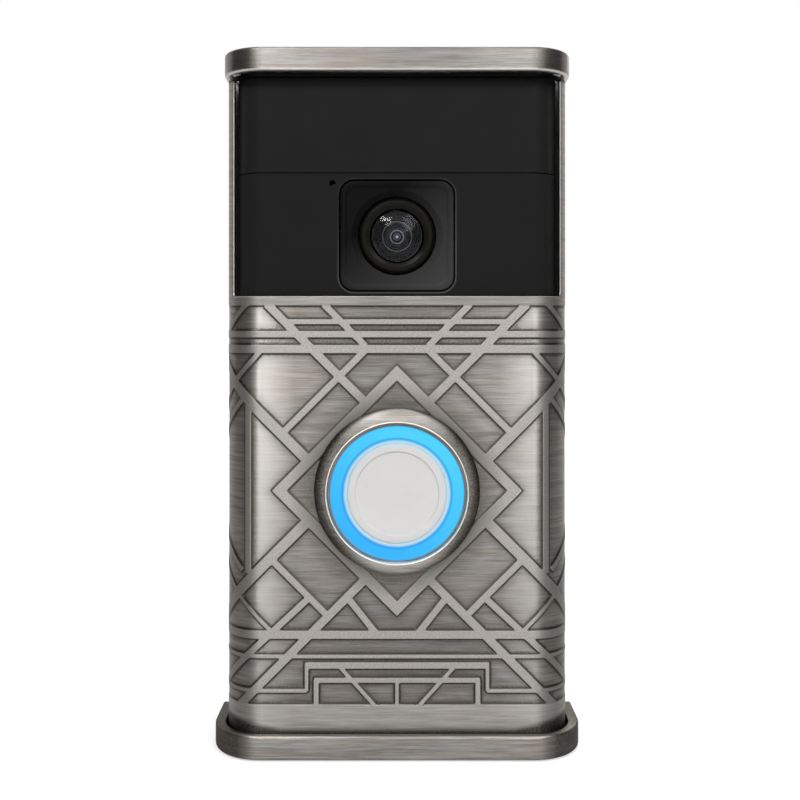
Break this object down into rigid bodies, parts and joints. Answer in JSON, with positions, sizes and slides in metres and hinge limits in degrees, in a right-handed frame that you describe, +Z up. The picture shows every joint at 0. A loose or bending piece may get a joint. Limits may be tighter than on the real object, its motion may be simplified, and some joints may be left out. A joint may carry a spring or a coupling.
{
  "type": "video doorbell",
  "caption": "Upright battery video doorbell with a black camera panel, round push button in a light ring, and a cast metal cover with a geometric lattice relief, hood and tray.",
  "frame": {"origin": "middle of the face that lies on the wall, halfway up the doorbell body", "axes": "+Z up along the height, +Y from the viewer into the wall, +X to the viewer's right"},
  "size_m": [0.0704, 0.033, 0.1333],
  "materials": {
    "brushed_nickel": "brushed antique nickel, lighter on the ribs and darker in the sunk panels",
    "black_plastic": "satin moulded",
    "gloss_black": "gloss, lets infrared through",
    "clear_glass": "coated and polished",
    "white_plastic": "satin moulded",
    "blue_light": "milky translucent, lit from behind",
    "circuit_board": "green solder mask",
    "steel": "plated",
    "rubber": "matte",
    "orange_plastic": "satin moulded",
    "battery_wrap": "shrink wrap"
  },
  "bodies": {
    "housing": {"cover_shell": "brushed_nickel", "hood_cap": "brushed_nickel", "base_tray": "brushed_nickel", "security_screw": "steel", "front_housing": "black_plastic", "sensor_window": "gloss_black", "rear_housing": "black_plastic", "housing_seal": "rubber", "housing_screw_1": "steel", "housing_screw_2": "steel", "housing_screw_3": "steel", "housing_screw_4": "steel", "camera_bezel": "black_plastic", "lens_ring": "gloss_black", "lens_cover": "clear_glass", "lens_barrel": "black_plastic", "front_lens_element": "clear_glass", "rear_lens_element": "clear_glass", "lens_holder": "black_plastic", "image_sensor": "gloss_black", "camera_board": "circuit_board", "infrared_lamp_left": "clear_glass", "infrared_lamp_right": "clear_glass", "motion_lens_array": "white_plastic", "motion_sensor_left": "steel", "motion_sensor_right": "steel", "sensor_board": "circuit_board", "sensor_board_screw_1": "steel", "sensor_board_screw_2": "steel", "microphone": "steel", "microphone_boot": "rubber", "light_ring": "blue_light", "button_pad": "rubber", "button_switch": "steel", "ring_board": "circuit_board", "ring_led_1": "white_plastic", "ring_led_2": "white_plastic", "ring_led_3": "white_plastic", "ring_led_4": "white_plastic", "ring_led_5": "white_plastic", "ring_led_6": "white_plastic", "speaker_frame": "steel", "speaker_cone": "rubber", "speaker_magnet": "steel", "main_board": "circuit_board", "main_board_screw_1": "steel", "main_board_screw_2": "steel", "shield_can": "steel", "wifi_antenna": "steel", "battery_pack": "battery_wrap", "power_board": "circuit_board", "usb_port": "steel", "setup_switch": "steel", "terminal_screw_left": "steel", "terminal_screw_right": "steel"},
    "button": {"button_cap": "white_plastic", "switch_plunger": "black_plastic"},
    "setup": {"setup_button": "orange_plastic"}
  },
  "joints": [
    {"name": "button_press", "type": "slide", "parent": "housing", "child": "button", "axis": [0, 1, 0], "range_m": [0, 0.0006], "stiffness_N_per_m": 1200, "springref_m": -0.0005},
    {"name": "setup_press", "type": "slide", "parent": "housing", "child": "setup", "axis": [0, -1, 0], "range_m": [0, 0.0004], "stiffness_N_per_m": 1500, "springref_m": -0.0005}
  ]
}
